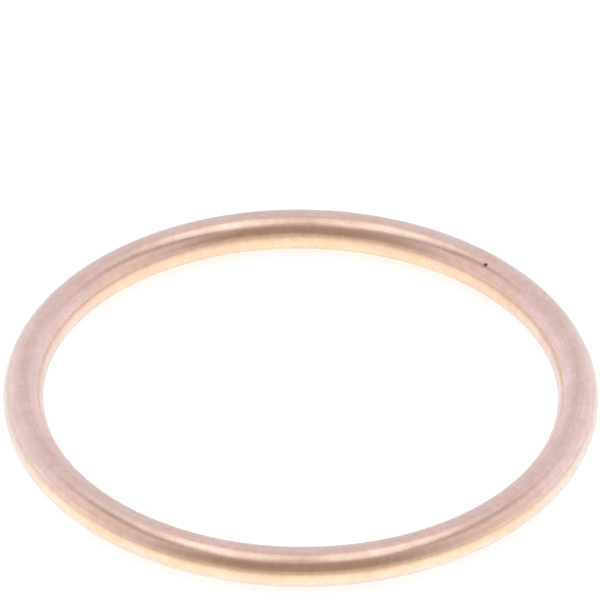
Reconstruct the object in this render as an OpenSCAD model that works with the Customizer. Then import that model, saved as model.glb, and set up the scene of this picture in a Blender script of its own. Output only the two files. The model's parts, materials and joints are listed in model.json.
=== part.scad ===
// Round-section copper exhaust gasket: a crush ring rolled from one flat ring of sheet.
// The sheet's inner and outer borders curl under and meet in a seam on the ring's underside.
// Origin at the ring's centre on the plane it rests on, +Z up along the ring's axis.

/* [Ring] */
// Clear diameter through the middle of the ring
inside_d = 45; // [20:0.5:120]
// Diameter of the round section, from inside wall to outside wall
section_d = 3.5; // [2.6:0.1:8]

/* [Rolled sheet] */
// Thickness of the sheet
sheet_t = 0.4; // [0.2:0.05:0.6]
// Inside radius of the curl that turns each border of the sheet up into the seam
curl_inside_r = 0.15; // [0.05:0.05:0.3]
// Turn of each curl past the seam, where the sheet's cut edge ends inside the section
curl_past_seam = 40; // [0:5:60]
// Gap between the two borders at the seam
seam_gap = 0.08; // [0.02:0.01:0.3]

/* [Pit] */
// Width of the pit's mouth
pit_w = 0.3; // [0.1:0.05:0.5]
// Depth of the pit below the sheet's surface
pit_depth = 0.14; // [0.05:0.01:0.18]
// Bearing of the pit round the ring, counter-clockwise from +X
pit_bearing = 46.4; // [0:0.1:360]
// Place of the pit round the section: 0 faces outward, 90 up and 180 inward
pit_angle = 114; // [0:1:180]

/* [Hidden] */

copper = [0.88, 0.74, 0.66];

// Facets of the drawn circles
ring_facets = 180;
section_facets = 96;
pit_facets = 32;

// Section circle, and the circle that its centre follows round the ring
section_r = section_d / 2;
centre_line_r = inside_d / 2 + section_r;

// Each curl touches the section circle from inside, and its side stops half the gap from the seam's middle
curl_r = curl_inside_r + sheet_t;
curl_offset = section_r - curl_r;
curl_start = asin((curl_r + seam_gap / 2) / curl_offset);
curl_sweep = curl_start + 90 + curl_past_seam;

// The ring rests on the two curls, so the section's centre stands this high
rest_h = curl_offset * cos(curl_start) + curl_r;

// Ball that leaves a pit of the given width and depth
pit_ball_r = (pit_w * pit_w / 4 + pit_depth * pit_depth) / (2 * pit_depth);

// A cutting outline reaches this far from its centre, past the whole section
cut_reach = 2 * section_d;

// Sheet bent right round to an outside radius
module bent_sheet(outer_r) {
    difference() {
        circle(r = outer_r, $fn = section_facets);
        circle(r = outer_r - sheet_t, $fn = section_facets);
    }
}

// Everything on the +X side of the centre
module right_side() {
    translate([0, -cut_reach]) square([cut_reach, 2 * cut_reach]);
}

// Slice of the plane that starts straight down and turns clockwise by less than a half turn
module slice_from_down(turn) {
    polygon([
        [0, 0],
        [0, -cut_reach],
        cut_reach * [-sin(turn / 2), -cos(turn / 2)],
        cut_reach * [-sin(turn), -cos(turn)]
    ]);
}

// Border of the sheet, curled about its own centre from straight down
module curl() {
    intersection() {
        bent_sheet(curl_r);
        slice_from_down(curl_sweep);
    }
}

// Outer half of the section: the round body from the top down to its curl under the ring
module half_section() {
    intersection() {
        rotate(curl_start) {
            intersection() {
                bent_sheet(section_r);
                right_side();
            }
            translate([0, -curl_offset]) curl();
        }
        right_side();
    }
}

// The whole rolled section, about its own centre
module rolled_section() {
    half_section();
    mirror([1, 0]) half_section();
}

// Ball sunk in the outside of the sheet at the pit's place
module pit_ball() {
    rotate([0, 0, pit_bearing])
    translate([centre_line_r, 0, rest_h])
    rotate([0, -pit_angle, 0])
    translate([section_r - pit_depth + pit_ball_r, 0, 0])
    sphere(r = pit_ball_r, $fn = pit_facets);
}

module gasket_ring() {
    color(copper)
    difference() {
        rotate_extrude($fn = ring_facets)
        translate([centre_line_r, rest_h])
        rolled_section();
        pit_ball();
    }
}

gasket_ring();
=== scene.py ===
"""Looks of a round-section copper exhaust gasket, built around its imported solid."""

import json
import logging
import math
from dataclasses import dataclass, field
from enum import IntEnum
from typing import Any

import bpy
from mathutils import Matrix, Vector


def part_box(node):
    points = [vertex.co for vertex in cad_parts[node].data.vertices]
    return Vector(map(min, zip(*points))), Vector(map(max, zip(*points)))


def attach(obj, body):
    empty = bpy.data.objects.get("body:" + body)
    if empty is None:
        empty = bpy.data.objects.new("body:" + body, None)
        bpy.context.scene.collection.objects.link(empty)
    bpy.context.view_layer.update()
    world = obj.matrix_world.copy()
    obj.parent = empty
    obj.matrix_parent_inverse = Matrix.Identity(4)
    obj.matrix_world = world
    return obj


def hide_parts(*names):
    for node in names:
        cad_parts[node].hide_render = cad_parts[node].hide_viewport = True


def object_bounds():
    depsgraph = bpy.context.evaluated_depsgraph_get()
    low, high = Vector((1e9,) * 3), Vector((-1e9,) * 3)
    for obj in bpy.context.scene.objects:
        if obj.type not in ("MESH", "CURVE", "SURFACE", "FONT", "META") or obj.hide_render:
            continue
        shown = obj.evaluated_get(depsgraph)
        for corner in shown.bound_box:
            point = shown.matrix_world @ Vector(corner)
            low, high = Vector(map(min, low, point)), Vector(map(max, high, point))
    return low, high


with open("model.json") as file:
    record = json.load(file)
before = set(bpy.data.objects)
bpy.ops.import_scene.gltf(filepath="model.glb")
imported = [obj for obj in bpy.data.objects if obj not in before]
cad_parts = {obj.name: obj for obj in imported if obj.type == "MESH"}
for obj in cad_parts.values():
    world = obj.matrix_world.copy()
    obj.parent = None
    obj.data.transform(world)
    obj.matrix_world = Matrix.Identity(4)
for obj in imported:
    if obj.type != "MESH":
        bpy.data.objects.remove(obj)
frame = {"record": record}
CAD_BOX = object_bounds()

MM = 0.001
RING_NODE = "gasket_ring"
BODY = "root"
SEALING_MOUNT = "port_seat"

# Points closer together than this count as one
WELD = 0.001 * MM

# Solidify's offset at which all of the thickness lies behind the modelled face
INWARD = -1.0

# Displace's middle level at which a texture only pushes inward
PRESS_ONLY = 1.0

# The sRGB curve: a straight start up to a limit, and a power from there on
BYTE_MAX = 255
STRAIGHT_TO = 0.04045
STRAIGHT_SLOPE = 12.92
CURVE_OFFSET = 0.055
CURVE_POWER = 2.4

# Ends of a panel that has no rim there, past every angle at which the studio shows
BELOW_ALL = -90
ABOVE_ALL = 270

# Distance from the camera to the ring, in radii of the ring's centre line
CAMERA_RADII = 60

log = logging.getLogger("exhaust_gasket")


def linear(hex_colour: str, strength: float = 1.0) -> tuple[float, float, float, float]:
    """Turn an sRGB hex colour into a linear one for a colour socket.

    Args:
        hex_colour: Six hex digits after a hash, such as "#FAD6C0".
        strength: Factor on the three channels.

    Returns:
        Linear red, green and blue times the strength, and an alpha of 1.
    """
    values = []
    for start in (1, 3, 5):
        written = int(hex_colour[start:start + 2], 16) / BYTE_MAX
        if written <= STRAIGHT_TO:
            values.append(strength * written / STRAIGHT_SLOPE)
        else:
            values.append(strength * ((written + CURVE_OFFSET) / (1 + CURVE_OFFSET)) ** CURVE_POWER)
    return (values[0], values[1], values[2], 1.0)


def add_node(
    tree: bpy.types.NodeTree,
    kind: str,
    settings: dict[str, Any] | None = None,
    inputs: dict[str | int, Any] | None = None,
) -> bpy.types.Node:
    """Add a node to a tree with its settings and links.

    Args:
        tree: Node tree that gets the node.
        kind: Blender's type name of the node.
        settings: Values of the node's own properties.
        inputs: For each input by name or number, the socket to link or the value to set.

    Returns:
        The new node.
    """
    node = tree.nodes.new(kind)
    for name, value in (settings or {}).items():
        setattr(node, name, value)
    for key, value in (inputs or {}).items():
        if isinstance(value, bpy.types.NodeSocket):
            tree.links.new(value, node.inputs[key])
        else:
            node.inputs[key].default_value = value
    return node


def deselect_all() -> None:
    """Leave object mode with nothing selected."""
    if bpy.context.object and bpy.context.object.mode != "OBJECT":
        bpy.ops.object.mode_set(mode="OBJECT")
    bpy.ops.object.select_all(action="DESELECT")


def apply_modifier(obj: bpy.types.Object, kind: str, settings: dict[str, Any]) -> None:
    """Put a modifier on an object and apply it.

    Args:
        obj: Mesh object to change.
        kind: Blender's type name of the modifier.
        settings: Values of the modifier's properties.
    """
    modifier = obj.modifiers.new(kind.title(), kind)
    for name, value in settings.items():
        setattr(modifier, name, value)
    bpy.context.view_layer.objects.active = obj
    bpy.ops.object.modifier_apply(modifier=modifier.name)


class Border(IntEnum):
    """Border of the sheet: its sign is the side of the section on which it curls under."""

    OUTER = 1
    INNER = -1


@dataclass(frozen=True)
class RolledSection:
    """Section of the ring: sheet rolled round, with both borders curled up into the seam underneath.

    All lengths are in metres. The centre line and the section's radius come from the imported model,
    so they aren't written again here.
    """

    centre_line_r: float
    section_r: float
    sheet_t: float = 0.4 * MM
    curl_inside_r: float = 0.15 * MM
    seam_gap: float = 0.08 * MM
    curl_past_seam: float = math.radians(40)
    round_points: int = 88
    curl_points: int = 12

    @property
    def curl_r(self) -> float:
        """Outside radius of a curl."""
        return self.curl_inside_r + self.sheet_t

    @property
    def curl_offset(self) -> float:
        """Distance from the section's centre to a curl's centre."""
        return self.section_r - self.curl_r

    @property
    def curl_start(self) -> float:
        """Angle from straight down at which the round body turns into a curl."""
        return math.asin((self.curl_r + self.seam_gap / 2) / self.curl_offset)

    @property
    def curl_sweep(self) -> float:
        """Turn of a curl, from the round body to the sheet's cut edge."""
        return self.curl_start + math.pi / 2 + self.curl_past_seam

    @property
    def rest_h(self) -> float:
        """Height of the section's centre when the ring rests on its curls."""
        return self.curl_offset * math.cos(self.curl_start) + self.curl_r

    @property
    def opening_h(self) -> float:
        """Height at which the round body ends and its curls start."""
        return self.rest_h - self.section_r * math.cos(self.curl_start)

    @property
    def centre(self) -> Vector:
        """Centre of the section where it crosses the XZ plane."""
        return Vector((self.centre_line_r, 0, self.rest_h))

    def curl_centre(self, border: Border) -> Vector:
        """Centre of a border's curl in the XZ plane."""
        across = border * self.curl_offset * math.sin(self.curl_start)
        return Vector((self.centre_line_r + across, 0, self.curl_r))


@dataclass(frozen=True)
class Pit:
    """Small pit in the sheet, on the far right of the ring's inner shoulder.

    Its bearing is round the ring's axis from +X, and its section angle is round the section from
    straight outwards, over the top.
    """

    bearing: float = math.radians(46.4)
    section_angle: float = math.radians(114)
    width: float = 0.3 * MM
    depth: float = 0.14 * MM
    ball_subdivisions: int = 4

    @property
    def ball_r(self) -> float:
        """Radius of the ball that leaves a pit of this width and depth."""
        return (self.width ** 2 / 4 + self.depth ** 2) / (2 * self.depth)

    def outward(self) -> Vector:
        """Direction that the pit's mouth faces."""
        before_turn = Vector((math.cos(self.section_angle), 0, math.sin(self.section_angle)))
        return Matrix.Rotation(self.bearing, 3, "Z") @ before_turn

    def mouth(self, section: RolledSection) -> Vector:
        """Middle of the pit's mouth on the sheet's outside."""
        centre = Matrix.Rotation(self.bearing, 3, "Z") @ section.centre
        return centre + section.section_r * self.outward()


@dataclass(frozen=True)
class Mark:
    """One kind of mark that the making left all over the sheet, drawn as noise of a real size.

    Each finer octave adds the same noise at half the size. Contrast is how far it lightens and darkens
    the copper, relief is its depth, and a length draws it out round the ring.
    """

    name: str
    size_mm: float
    finer_octaves: float = 1.0
    contrast: float = 0.0
    relief_mm: float = 0.0
    length_mm: float = 0.0


@dataclass(frozen=True)
class PickledCopper:
    """Annealed copper sheet, rolled and then pickled clean: a pale rose satin metal.

    Pickling eats the polish off the sheet, so highlights spread softly, and it leaves a faint white
    bloom and clouds where the oxide was thicker. Sheet bent by hand-fed rolls is very slightly hammered,
    so the edges of what it mirrors waver, and the rolls leave lines round the ring. The pit keeps its
    brown oxide. Inside the section the copper is painted the same brown, deeper into the seam: partly
    oxide that the acid didn't reach, partly painted shade in the seam. The two pit values are in pit
    widths from the middle of its mouth. Etched grains and roll lines are far finer than a pixel, so
    both are drawn as coarse as they need to be to show.
    """

    clean: str = "#FBDFC9"
    clouded: str = "#F6D8C0"
    # Brown of the pit's oxide; inside the section the same brown is partly oxide and partly painted shade
    # deep in the seam
    oxide: str = "#9A7462"
    roughness: float = 0.27
    roughness_spread: float = 0.03
    bloom: float = 0.9
    bloom_roughness: float = 0.4
    acid_cloud: Mark = Mark("acid_cloud", size_mm=3.0, finer_octaves=3)
    marks: tuple[Mark, ...] = (
        Mark("hammered_mottle", size_mm=0.7, finer_octaves=2, contrast=0.08, relief_mm=0.004),
        Mark("etched_grain", size_mm=0.25, contrast=0.04, relief_mm=0.0004),
        Mark("roll_line", size_mm=0.22, contrast=0.07, relief_mm=0.001, length_mm=7),
    )
    noise_roughness: float = 0.5
    # Nearly all of the noise lies between these two
    noise_low: float = 0.3
    noise_high: float = 0.7
    pit_oxide_full_to: float = 0.4
    pit_clean_from: float = 0.9

    def material(self, section: RolledSection, pit: Pit) -> bpy.types.Material:
        """Build the copper with its brown: oxide in the pit, and partly oxide and partly painted shade deep
        in the seam.

        Args:
            section: Rolled section that the border of the brown inside it follows.
            pit: Pit that keeps its oxide.

        Returns:
            The material, reading Object coordinates.
        """
        material = bpy.data.materials.new("pickled_rolled_copper")
        material.use_nodes = True
        tree = material.node_tree
        place = add_node(tree, "ShaderNodeTexCoord").outputs["Object"]
        axes = add_node(tree, "ShaderNodeSeparateXYZ", {}, {0: place}).outputs
        flat = add_node(tree, "ShaderNodeCombineXYZ", {}, {"X": axes["X"], "Y": axes["Y"]}).outputs["Vector"]
        radius = add_node(tree, "ShaderNodeVectorMath", {"operation": "LENGTH"}, {0: flat}).outputs["Value"]
        across = add_node(tree, "ShaderNodeCombineXYZ", {}, {"X": radius, "Z": axes["Z"]}).outputs["Vector"]
        noise = self._noise(tree, place, flat, across)

        colour = self._pickled(tree, noise)
        inside_r = section.section_r - section.sheet_t
        # The pit keeps its oxide; inside the section the copper turns brown deeper into the seam, partly
        # oxide and partly painted shade
        for where, middle, full_to, clean_from in (
            (place, pit.mouth(section), self.pit_oxide_full_to * pit.width, self.pit_clean_from * pit.width),
            (across, section.centre, inside_r - section.sheet_t, inside_r),
        ):
            colour = self._oxidised(tree, colour, where, middle, full_to, clean_from)
        roughness = add_node(
            tree, "ShaderNodeMapRange", {},
            {"Value": noise[self.acid_cloud.name], "From Min": self.noise_low, "From Max": self.noise_high,
             "To Min": self.roughness - self.roughness_spread,
             "To Max": self.roughness + self.roughness_spread},
        ).outputs["Result"]
        bump = add_node(
            tree, "ShaderNodeBump", {},
            {"Height": self._relief(tree, noise), "Distance": 1.0, "Strength": 1.0},
        )

        shader = tree.nodes["Principled BSDF"]
        shader.inputs["Metallic"].default_value = 1.0
        shader.inputs["Sheen Weight"].default_value = self.bloom
        shader.inputs["Sheen Roughness"].default_value = self.bloom_roughness
        tree.links.new(colour, shader.inputs["Base Color"])
        tree.links.new(roughness, shader.inputs["Roughness"])
        tree.links.new(bump.outputs["Normal"], shader.inputs["Normal"])
        return material

    def _noise(
        self,
        tree: bpy.types.NodeTree,
        place: bpy.types.NodeSocket,
        flat: bpy.types.NodeSocket,
        across: bpy.types.NodeSocket,
    ) -> dict[str, bpy.types.NodeSocket]:
        """Draw every kind of mark as noise of its real size.

        Args:
            tree: Node tree of the copper.
            place: Object coordinates.
            flat: The same coordinates without their height.
            across: Distance from the ring's axis along X, and height along Z.

        Returns:
            The noise of each mark, by the mark's name.
        """
        noise = {}
        for mark in (self.acid_cloud, *self.marks):
            where = place
            if mark.length_mm:
                # A step along a line changes the pattern far less than the same step across it
                drawn_out = mark.size_mm / mark.length_mm
                where = add_node(
                    tree, "ShaderNodeVectorMath", {"operation": "MULTIPLY_ADD"},
                    {0: flat, 1: (drawn_out, drawn_out, drawn_out), 2: across},
                ).outputs["Vector"]
            noise[mark.name] = add_node(
                tree, "ShaderNodeTexNoise", {"label": mark.name},
                {"Vector": where, "Scale": 1 / (mark.size_mm * MM), "Detail": mark.finer_octaves,
                 "Roughness": self.noise_roughness},
            ).outputs["Fac"]
        return noise

    def _pickled(
        self, tree: bpy.types.NodeTree, noise: dict[str, bpy.types.NodeSocket],
    ) -> bpy.types.NodeSocket:
        """Cloud the clean copper, then lighten and darken it by its marks.

        Args:
            tree: Node tree of the copper.
            noise: The noise of each mark, by the mark's name.

        Returns:
            The colour before the brown of oxide and painted shade.
        """
        clouding = add_node(
            tree, "ShaderNodeMapRange", {"interpolation_type": "SMOOTHSTEP"},
            {"Value": noise[self.acid_cloud.name], "From Min": self.noise_low, "From Max": self.noise_high},
        ).outputs["Result"]
        colour = add_node(
            tree, "ShaderNodeMix", {"data_type": "RGBA"},
            {"Factor": clouding, "A": linear(self.clean), "B": linear(self.clouded)},
        ).outputs["Result"]
        for mark in self.marks:
            shade = add_node(
                tree, "ShaderNodeMapRange", {"interpolation_type": "SMOOTHSTEP"},
                {"Value": noise[mark.name], "From Min": self.noise_low, "From Max": self.noise_high,
                 "To Min": 1 - mark.contrast / 2, "To Max": 1 + mark.contrast / 2},
            ).outputs["Result"]
            colour = add_node(
                tree, "ShaderNodeVectorMath", {"operation": "SCALE"}, {0: colour, "Scale": shade},
            ).outputs["Vector"]
        return colour

    def _relief(
        self, tree: bpy.types.NodeTree, noise: dict[str, bpy.types.NodeSocket],
    ) -> bpy.types.NodeSocket:
        """Add up the relief of the marks.

        Args:
            tree: Node tree of the copper.
            noise: The noise of each mark, by the mark's name.

        Returns:
            Height of the surface in metres.
        """
        height = 0.0
        for mark in self.marks:
            height = add_node(
                tree, "ShaderNodeMath", {"operation": "MULTIPLY_ADD"},
                {0: noise[mark.name], 1: mark.relief_mm * MM, 2: height},
            ).outputs["Value"]
        return height

    def _oxidised(
        self,
        tree: bpy.types.NodeTree,
        colour: bpy.types.NodeSocket,
        where: bpy.types.NodeSocket,
        middle: Vector,
        full_to: float,
        clean_from: float,
    ) -> bpy.types.NodeSocket:
        """Turn the copper brown round a point: oxide at the pit, and partly oxide and partly painted shade
        in the seam.

        Args:
            tree: Node tree of the copper.
            colour: The colour before this brown.
            where: Coordinates that the distance is measured in.
            middle: Point that the oxide lies round.
            full_to: Distance up to which the brown is full.
            clean_from: Distance from which the copper is clean.

        Returns:
            The colour with this brown.
        """
        distance = add_node(
            tree, "ShaderNodeVectorMath", {"operation": "DISTANCE"}, {0: where, 1: middle},
        ).outputs["Value"]
        brown = add_node(
            tree, "ShaderNodeMapRange", {"interpolation_type": "SMOOTHSTEP"},
            {"Value": distance, "From Min": full_to, "From Max": clean_from, "To Min": 1.0, "To Max": 0.0},
        ).outputs["Result"]
        return add_node(
            tree, "ShaderNodeMix", {"data_type": "RGBA"},
            {"Factor": brown, "A": colour, "B": linear(self.oxide)},
        ).outputs["Result"]


@dataclass(frozen=True)
class WhiteAcrylic:
    """Clear acrylic over white, as a table that is lit until it prints as white but for a shadow.

    What the ring mirrors of it near the horizon is its gloss, which mirrors the studio in turn. The
    clear sheet mirrors at its face and again at its back, so that the gloss sets in sooner. Closer
    by, the ring mirrors a glow that is painted light: a painted warm pool beside the copper that faces
    the dim camera side, in front of the ring and in the far part of its opening, and a painted cool
    pool where the windows light it. At the ring's foot, where its shadow would fall, the glow is
    painted a plain bright white. Each white passes into the next between two distances from the
    ring's axis, and into its warm side between the two of turn_mm, in front of the axis or behind it.
    """

    colour: str = "#E6E6E6"
    ior: float = 1.49
    mirroring_faces: float = 2.0
    gloss_roughness: float = 0.25
    seen_lift: float = 0.6
    warm_outside: str = "#FFFAEE"
    cool_outside: str = "#F1FCFF"
    warm_inside: str = "#FCF1E4"
    cool_inside: str = "#EEF0FA"
    glow_strength: float = 1.35
    # Painted bright glow under the ring's foot, where its shadow would fall
    plain_foot: str = "#F6F8FF"
    inside_to_foot_mm: tuple[float, float] = (23.2, 25.0)
    foot_to_outside_mm: tuple[float, float] = (25.8, 26.8)
    turn_mm: tuple[float, float] = (5.0, 20.0)

    def material(self) -> bpy.types.Material:
        """Build the table: a matt body lifted to white, and a painted glow and a gloss for the ring to
        mirror.

        Returns:
            The material, reading Object coordinates.
        """
        material = bpy.data.materials.new("glossy_white_acrylic")
        material.use_nodes = True
        tree = material.node_tree
        tree.nodes.clear()
        rays = add_node(tree, "ShaderNodeLightPath").outputs
        mirrored = add_node(
            tree, "ShaderNodeMath", {"operation": "MAXIMUM"},
            {0: rays["Is Glossy Ray"], 1: rays["Is Transmission Ray"]},
        ).outputs["Value"]
        lift = add_node(
            tree, "ShaderNodeMath", {"operation": "MULTIPLY"}, {0: rays["Is Camera Ray"], 1: self.seen_lift},
        ).outputs["Value"]
        matt = add_node(tree, "ShaderNodeBsdfDiffuse", {}, {"Color": linear(self.colour)}).outputs["BSDF"]
        lifted = add_node(tree, "ShaderNodeEmission", {}, {"Strength": lift}).outputs["Emission"]
        lit = add_node(tree, "ShaderNodeAddShader", {}, {0: matt, 1: lifted}).outputs["Shader"]
        # Painted light: a glow of warm, cool and plain white pools that only the ring's reflections see
        glow = add_node(
            tree, "ShaderNodeEmission", {}, {"Color": self._tint(tree), "Strength": self.glow_strength},
        ).outputs["Emission"]
        body = add_node(tree, "ShaderNodeMixShader", {}, {0: mirrored, 1: lit, 2: glow}).outputs["Shader"]
        gloss = add_node(
            tree, "ShaderNodeBsdfAnisotropic", {}, {"Roughness": self.gloss_roughness},
        ).outputs["BSDF"]
        share = self._gloss_share(tree, mirrored)
        both = add_node(tree, "ShaderNodeMixShader", {}, {0: share, 1: body, 2: gloss}).outputs["Shader"]
        add_node(tree, "ShaderNodeOutputMaterial", {}, {"Surface": both})
        return material

    def _tint(self, tree: bpy.types.NodeTree) -> bpy.types.NodeSocket:
        """Paint the glow's pools of light, passing from white to white outwards from the ring's axis.

        Args:
            tree: Node tree of the table.

        Returns:
            The painted glow's colour.
        """
        place = add_node(tree, "ShaderNodeTexCoord").outputs["Object"]
        radius = add_node(tree, "ShaderNodeVectorMath", {"operation": "LENGTH"}, {0: place}).outputs["Value"]
        y = add_node(tree, "ShaderNodeSeparateXYZ", {}, {0: place}).outputs["Y"]
        tints = []
        for towards, warm, cool in (
            (MM, self.warm_inside, self.cool_inside), (-MM, self.warm_outside, self.cool_outside),
        ):
            warmth = add_node(
                tree, "ShaderNodeMapRange", {"interpolation_type": "SMOOTHSTEP"},
                {"Value": y, "From Min": self.turn_mm[0] * towards, "From Max": self.turn_mm[1] * towards},
            ).outputs["Result"]
            tints.append(add_node(
                tree, "ShaderNodeMix", {"data_type": "RGBA"},
                {"Factor": warmth, "A": linear(cool), "B": linear(warm)},
            ).outputs["Result"])
        inside, outside = tints
        tint = inside
        for zone, (start_mm, full_mm) in (
            (linear(self.plain_foot), self.inside_to_foot_mm), (outside, self.foot_to_outside_mm),
        ):
            reached = add_node(
                tree, "ShaderNodeMapRange", {"interpolation_type": "SMOOTHSTEP"},
                {"Value": radius, "From Min": start_mm * MM, "From Max": full_mm * MM},
            ).outputs["Result"]
            tint = add_node(
                tree, "ShaderNodeMix", {"data_type": "RGBA"}, {"Factor": reached, "A": tint, "B": zone},
            ).outputs["Result"]
        return tint

    def _gloss_share(
        self, tree: bpy.types.NodeTree, mirrored: bpy.types.NodeSocket,
    ) -> bpy.types.NodeSocket:
        """Work out how much light the faces of the clear sheet turn back.

        Args:
            tree: Node tree of the table.
            mirrored: 1 for a ray that the ring mirrors, and 0 for any other.

        Returns:
            The gloss's share of what the ring mirrors, and 0 for any other ray.
        """
        fresnel = add_node(tree, "ShaderNodeFresnel", {}, {"IOR": self.ior}).outputs["Fac"]
        passed = add_node(
            tree, "ShaderNodeMath", {"operation": "SUBTRACT"}, {0: 1.0, 1: fresnel},
        ).outputs["Value"]
        passed_all = add_node(
            tree, "ShaderNodeMath", {"operation": "POWER"}, {0: passed, 1: self.mirroring_faces},
        ).outputs["Value"]
        turned_back = add_node(
            tree, "ShaderNodeMath", {"operation": "SUBTRACT"}, {0: 1.0, 1: passed_all},
        ).outputs["Value"]
        return add_node(
            tree, "ShaderNodeMath", {"operation": "MULTIPLY"}, {0: turned_back, 1: mirrored},
        ).outputs["Value"]


@dataclass
class GasketRing:
    """The whole gasket: one ring of copper sheet, rolled round and closed by a seam underneath."""

    section: RolledSection
    pit: Pit = field(default_factory=Pit)
    finish: PickledCopper = field(default_factory=PickledCopper)
    ring_steps: int = 360
    dent_mm: float = 2.6
    dent_finer_octaves: int = 1
    dent_depth_mm: float = 0.016
    sharp_angle: float = math.radians(35)

    def build(self) -> bpy.types.Object:
        """Model the ring, dress it and hand it to the frame.

        Returns:
            The finished ring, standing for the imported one.
        """
        ring = self._sheet_outside()
        self._dent(ring)
        apply_modifier(
            ring, "SOLIDIFY",
            {"thickness": self.section.sheet_t, "offset": INWARD, "use_even_offset": True},
        )
        self._press_pit(ring)
        bpy.ops.object.shade_smooth_by_angle(angle=self.sharp_angle)
        ring.data.materials.clear()
        ring.data.materials.append(self.finish.material(self.section, self.pit))
        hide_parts(RING_NODE)
        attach(ring, BODY)
        return ring

    def _sheet_outside(self) -> bpy.types.Object:
        """Model the outside face of the sheet: the open section, spun round the ring's axis.

        Returns:
            The ring without its thickness, facing outwards.
        """
        s = self.section
        deselect_all()
        bpy.ops.mesh.primitive_circle_add(
            vertices=s.round_points, radius=s.section_r, fill_type="NOTHING",
            location=s.centre, rotation=(math.pi / 2, 0, 0),
        )
        ring = bpy.context.object
        ring.name = "rolled_copper_ring"
        bpy.ops.object.transform_apply(location=True, rotation=True, scale=True)
        bpy.ops.object.mode_set(mode="EDIT")
        bpy.ops.mesh.select_mode(type="VERT")
        bpy.ops.mesh.select_all(action="SELECT")
        # The operator's own threshold is 0.1 mm, and any point as near to the cut as that counts as on it
        bpy.ops.mesh.bisect(
            plane_co=(0, 0, s.opening_h), plane_no=(0, 0, 1), clear_inner=True, threshold=WELD,
        )
        for border in Border:
            self._select_border(ring, border)
            bpy.ops.mesh.spin(
                steps=s.curl_points, angle=border * s.curl_sweep,
                center=s.curl_centre(border), axis=(0, -1, 0),
            )
        bpy.ops.mesh.select_all(action="SELECT")
        bpy.ops.mesh.spin(steps=self.ring_steps, angle=2 * math.pi, center=(0, 0, 0), axis=(0, 0, 1))
        bpy.ops.mesh.select_all(action="SELECT")
        bpy.ops.mesh.remove_doubles(threshold=WELD)
        bpy.ops.mesh.normals_make_consistent(inside=False)
        bpy.ops.object.mode_set(mode="OBJECT")
        return ring

    def _select_border(self, ring: bpy.types.Object, border: Border) -> None:
        """Select only one end of the open section.

        Args:
            ring: Object in edit mode whose mesh is the open section.
            border: Border of the sheet whose end is selected.
        """
        bpy.ops.mesh.select_all(action="DESELECT")
        bpy.ops.object.mode_set(mode="OBJECT")
        for vertex in ring.data.vertices:
            across = border * (vertex.co.x - self.section.centre_line_r)
            vertex.select = across > 0 and abs(vertex.co.z - self.section.opening_h) < WELD
        bpy.ops.object.mode_set(mode="EDIT")

    def _dent(self, ring: bpy.types.Object) -> None:
        """Press shallow dents into the sheet, as hand-fed rolls leave it: inward only, to stay in the box.

        Args:
            ring: Outside face of the sheet.
        """
        dents = bpy.data.textures.new("shallow_dents", "CLOUDS")
        dents.noise_scale = self.dent_mm * MM
        dents.noise_depth = self.dent_finer_octaves
        apply_modifier(
            ring, "DISPLACE",
            {"texture": dents, "texture_coords": "LOCAL", "strength": self.dent_depth_mm * MM,
             "mid_level": PRESS_ONLY},
        )

    def _press_pit(self, ring: bpy.types.Object) -> None:
        """Cut the pit into the sheet with a small ball, which is then removed.

        Args:
            ring: The sheet with its thickness.
        """
        pit = self.pit
        deselect_all()
        centre = pit.mouth(self.section) + (pit.ball_r - pit.depth) * pit.outward()
        bpy.ops.mesh.primitive_ico_sphere_add(
            subdivisions=pit.ball_subdivisions, radius=pit.ball_r, location=centre,
        )
        ball = bpy.context.object
        bpy.ops.object.transform_apply(location=True, rotation=True, scale=True)
        apply_modifier(ring, "BOOLEAN", {"operation": "DIFFERENCE", "object": ball, "solver": "EXACT"})
        bpy.data.objects.remove(ball)
        deselect_all()
        ring.select_set(True)
        bpy.context.view_layer.objects.active = ring


@dataclass(frozen=True)
class StudioPanel:
    """Part of the studio as the object sees it, mirrored left and right.

    Azimuth runs from 0, straight behind the object, to 180, behind the first camera. Elevation is
    above the horizon. Each fade is how much of the angle the panel's rim takes to appear. All of
    them are in degrees.
    """

    name: str
    colour: str
    azimuth: tuple[float, float]
    elevation: tuple[float, float]
    azimuth_fade: float
    elevation_fade: float
    strength: float = 1.0

    def mask(
        self, tree: bpy.types.NodeTree, azimuth: bpy.types.NodeSocket, elevation: bpy.types.NodeSocket,
    ) -> bpy.types.NodeSocket:
        """Mask the panel between its four rims.

        Args:
            tree: Node tree of the world.
            azimuth: Azimuth of a direction, in radians.
            elevation: Elevation of a direction, in radians.

        Returns:
            1 on the panel and 0 off it.
        """
        mask = 1.0
        for angle, middle, fade, past_rim in (
            (azimuth, self.azimuth[0], self.azimuth_fade, 1.0),
            (azimuth, self.azimuth[1], self.azimuth_fade, 0.0),
            (elevation, self.elevation[0], self.elevation_fade, 1.0),
            (elevation, self.elevation[1], self.elevation_fade, 0.0),
        ):
            rim = add_node(
                tree, "ShaderNodeMapRange", {"interpolation_type": "SMOOTHSTEP"},
                {"Value": angle, "From Min": math.radians(middle - fade / 2),
                 "From Max": math.radians(middle + fade / 2), "To Min": 1.0 - past_rim, "To Max": past_rim},
            ).outputs["Result"]
            mask = add_node(
                tree, "ShaderNodeMath", {"operation": "MULTIPLY"}, {0: rim, 1: mask},
            ).outputs["Value"]
        return mask


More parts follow.
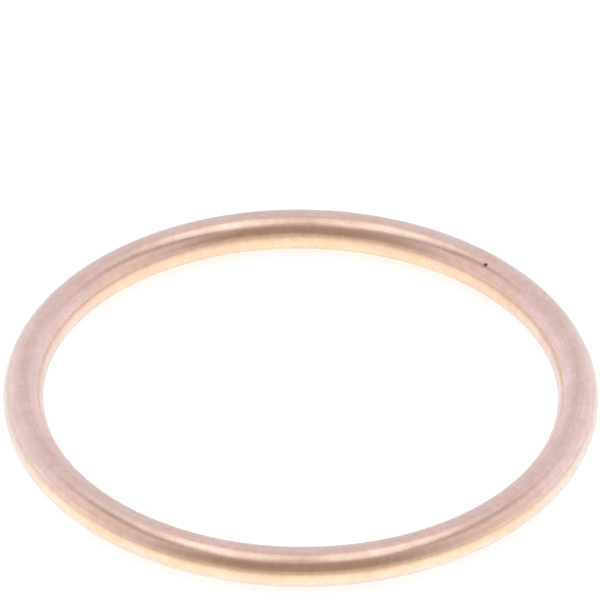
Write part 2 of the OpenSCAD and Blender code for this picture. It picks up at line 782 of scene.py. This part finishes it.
@dataclass
class Studio:
    """Plain soft light tent: pale walls with a bright foot, side windows, two long softboxes overhead.

    A panel covers those before it. The camera sees plain white beyond the table.
    """

    seen_behind: str = "#FFFFFF"
    walls: str = "#DBD6E4"
    panels: tuple[StudioPanel, ...] = (
        StudioPanel(
            "dim_roof", "#AFA09A", azimuth=(BELOW_ALL, ABOVE_ALL), elevation=(63.5, ABOVE_ALL),
            azimuth_fade=4, elevation_fade=4,
        ),
        StudioPanel(
            "side_window", "#E8E5FF", azimuth=(20, 96), elevation=(BELOW_ALL, 38),
            azimuth_fade=36, elevation_fade=24, strength=1.05,
        ),
        StudioPanel(
            "window_edge", "#E7DADF", azimuth=(82, 112), elevation=(BELOW_ALL, 42),
            azimuth_fade=20, elevation_fade=20,
        ),
        StudioPanel(
            "upper_side", "#F3E3E9", azimuth=(70, 117), elevation=(38, 53),
            azimuth_fade=20, elevation_fade=12,
        ),
        StudioPanel(
            "camera_side", "#A8968D", azimuth=(130, ABOVE_ALL), elevation=(BELOW_ALL, 59),
            azimuth_fade=40, elevation_fade=9,
        ),
        StudioPanel(
            "back_foot", "#DDE4F2", azimuth=(BELOW_ALL, 16), elevation=(BELOW_ALL, 6),
            azimuth_fade=14, elevation_fade=14,
        ),
        StudioPanel(
            "side_foot", "#F1F6FF", azimuth=(25, 112), elevation=(BELOW_ALL, 6),
            azimuth_fade=20, elevation_fade=14, strength=1.3,
        ),
        StudioPanel(
            "camera_foot", "#FFFFE3", azimuth=(112, ABOVE_ALL), elevation=(BELOW_ALL, 3),
            azimuth_fade=20, elevation_fade=14, strength=1.1,
        ),
        StudioPanel(
            "softbox_frame", "#7A6563", azimuth=(53, 132), elevation=(51.5, 71.5),
            azimuth_fade=20, elevation_fade=14,
        ),
        StudioPanel(
            "overhead_softbox", "#F7F7FF", azimuth=(16, 161), elevation=(62.5, 85),
            azimuth_fade=10, elevation_fade=13, strength=1.34,
        ),
    )

    def build(self) -> None:
        """Set the world so that it lights the object by direction alone."""
        world = bpy.data.worlds.new("soft_light_tent")
        world.use_nodes = True
        bpy.context.scene.world = world
        tree = world.node_tree
        tree.nodes.clear()
        direction = add_node(tree, "ShaderNodeTexCoord").outputs["Generated"]
        axes = add_node(tree, "ShaderNodeSeparateXYZ", {}, {"Vector": direction}).outputs
        across = add_node(tree, "ShaderNodeMath", {"operation": "ABSOLUTE"}, {0: axes["X"]}).outputs["Value"]
        azimuth = add_node(
            tree, "ShaderNodeMath", {"operation": "ARCTAN2"}, {0: across, 1: axes["Y"]},
        ).outputs["Value"]
        elevation = add_node(
            tree, "ShaderNodeMath", {"operation": "ARCSINE"}, {0: axes["Z"]},
        ).outputs["Value"]
        light = linear(self.walls)
        for panel in self.panels:
            mask = panel.mask(tree, azimuth, elevation)
            light = add_node(
                tree, "ShaderNodeMix", {"data_type": "RGBA", "label": panel.name},
                {"Factor": mask, "A": light, "B": linear(panel.colour, panel.strength)},
            ).outputs["Result"]
        glow = add_node(
            tree, "ShaderNodeBackground", {}, {"Color": light, "Strength": 1.0},
        ).outputs["Background"]
        plain = add_node(
            tree, "ShaderNodeBackground", {}, {"Color": linear(self.seen_behind), "Strength": 1.0},
        ).outputs["Background"]
        seen = add_node(tree, "ShaderNodeLightPath").outputs["Is Camera Ray"]
        both = add_node(tree, "ShaderNodeMixShader", {}, {0: seen, 1: glow, 2: plain}).outputs["Shader"]
        add_node(tree, "ShaderNodeOutputWorld", {}, {"Surface": both})


@dataclass
class Table:
    """White table under the object, wide enough to fill a view from just above it."""

    half_width: float = 12.0
    finish: WhiteAcrylic = field(default_factory=WhiteAcrylic)

    def build(self) -> bpy.types.Object:
        """Lay the table on the plane that the object rests on.

        Returns:
            The table.
        """
        deselect_all()
        bpy.ops.mesh.primitive_plane_add(size=2 * self.half_width, location=(0, 0, CAD_BOX[0][2]))
        table = bpy.context.object
        table.name = "white_table"
        bpy.ops.object.transform_apply(location=True, rotation=True, scale=True)
        table.data.materials.append(self.finish.material())
        return table


@dataclass
class PhotoCamera:
    """Camera far in front of the ring, looking down on it as the photograph does.

    The two centre values are where the ring's centre falls in the 600 by 600 pixel frame. The roll
    turns the view about the ring's centre.
    """

    ring_centre: Vector
    distance: float
    elevation: float = math.radians(37.52)
    roll: float = math.radians(0.4)
    focal_px: float = 16640.0
    frame_px: float = 600.0
    centre_x_px: float = 301.0
    centre_y_px: float = 395.6
    sensor_mm: float = 36.0
    clip_start: float = 0.01
    clip_end: float = 100.0

    def build(self) -> bpy.types.Object:
        """Place the camera and make it the scene's own.

        Returns:
            The camera.
        """
        data = bpy.data.cameras.new("photo_camera")
        data.sensor_width = self.sensor_mm
        data.lens = self.focal_px * self.sensor_mm / self.frame_px
        data.clip_start = self.clip_start
        data.clip_end = self.clip_end
        camera = bpy.data.objects.new("photo_camera", data)
        bpy.context.scene.collection.objects.link(camera)
        back = Vector((0, -math.cos(self.elevation), math.sin(self.elevation)))
        # Blender rolls about the frame's middle, so the ring's place in the frame is unrolled first
        middle = self.frame_px / 2
        rolled = Vector((self.centre_x_px - middle, self.centre_y_px - middle))
        right_px, down_px = Matrix.Rotation(-self.roll, 2) @ rolled
        pitch = math.pi / 2 - self.elevation + math.atan(down_px / self.focal_px)
        yaw = math.atan(right_px / self.focal_px)
        rolled_view = Matrix.Rotation(pitch, 4, "X") @ Matrix.Rotation(self.roll, 4, "Z")
        turn = Matrix.Rotation(yaw, 4, "Z") @ rolled_view
        camera.matrix_world = Matrix.Translation(self.ring_centre + self.distance * back) @ turn
        bpy.context.scene.camera = camera
        return camera


def section_from_frame() -> RolledSection:
    """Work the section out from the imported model: its box and the ring's sealing line.

    Returns:
        The section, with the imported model's centre line and radius.
    """
    mounts = {mount["name"]: mount for mount in frame["record"]["mounts"]}
    centre_line_r = mounts[SEALING_MOUNT]["dims"]["r_mm"] * MM
    outside_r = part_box(RING_NODE)[1][0]
    return RolledSection(centre_line_r=centre_line_r, section_r=outside_r - centre_line_r)


def main() -> None:
    """Build the ring and its studio in order."""
    logging.basicConfig(level=logging.INFO, format="%(name)s: %(message)s")
    section = section_from_frame()
    ring = GasketRing(section).build()
    faces = len(ring.data.polygons)
    log.info("%s: %d faces, section radius %.4f mm", ring.name, faces, section.section_r / MM)
    table = Table().build()
    log.info("%s: laid under the ring", table.name)
    Studio().build()
    centre = Vector((0, 0, section.rest_h))
    camera = PhotoCamera(ring_centre=centre, distance=CAMERA_RADII * section.centre_line_r).build()
    log.info("%s: lens %.1f mm", camera.name, camera.data.lens)
    bpy.context.scene.view_settings.view_transform = "Standard"


if __name__ == "__main__":
    main()
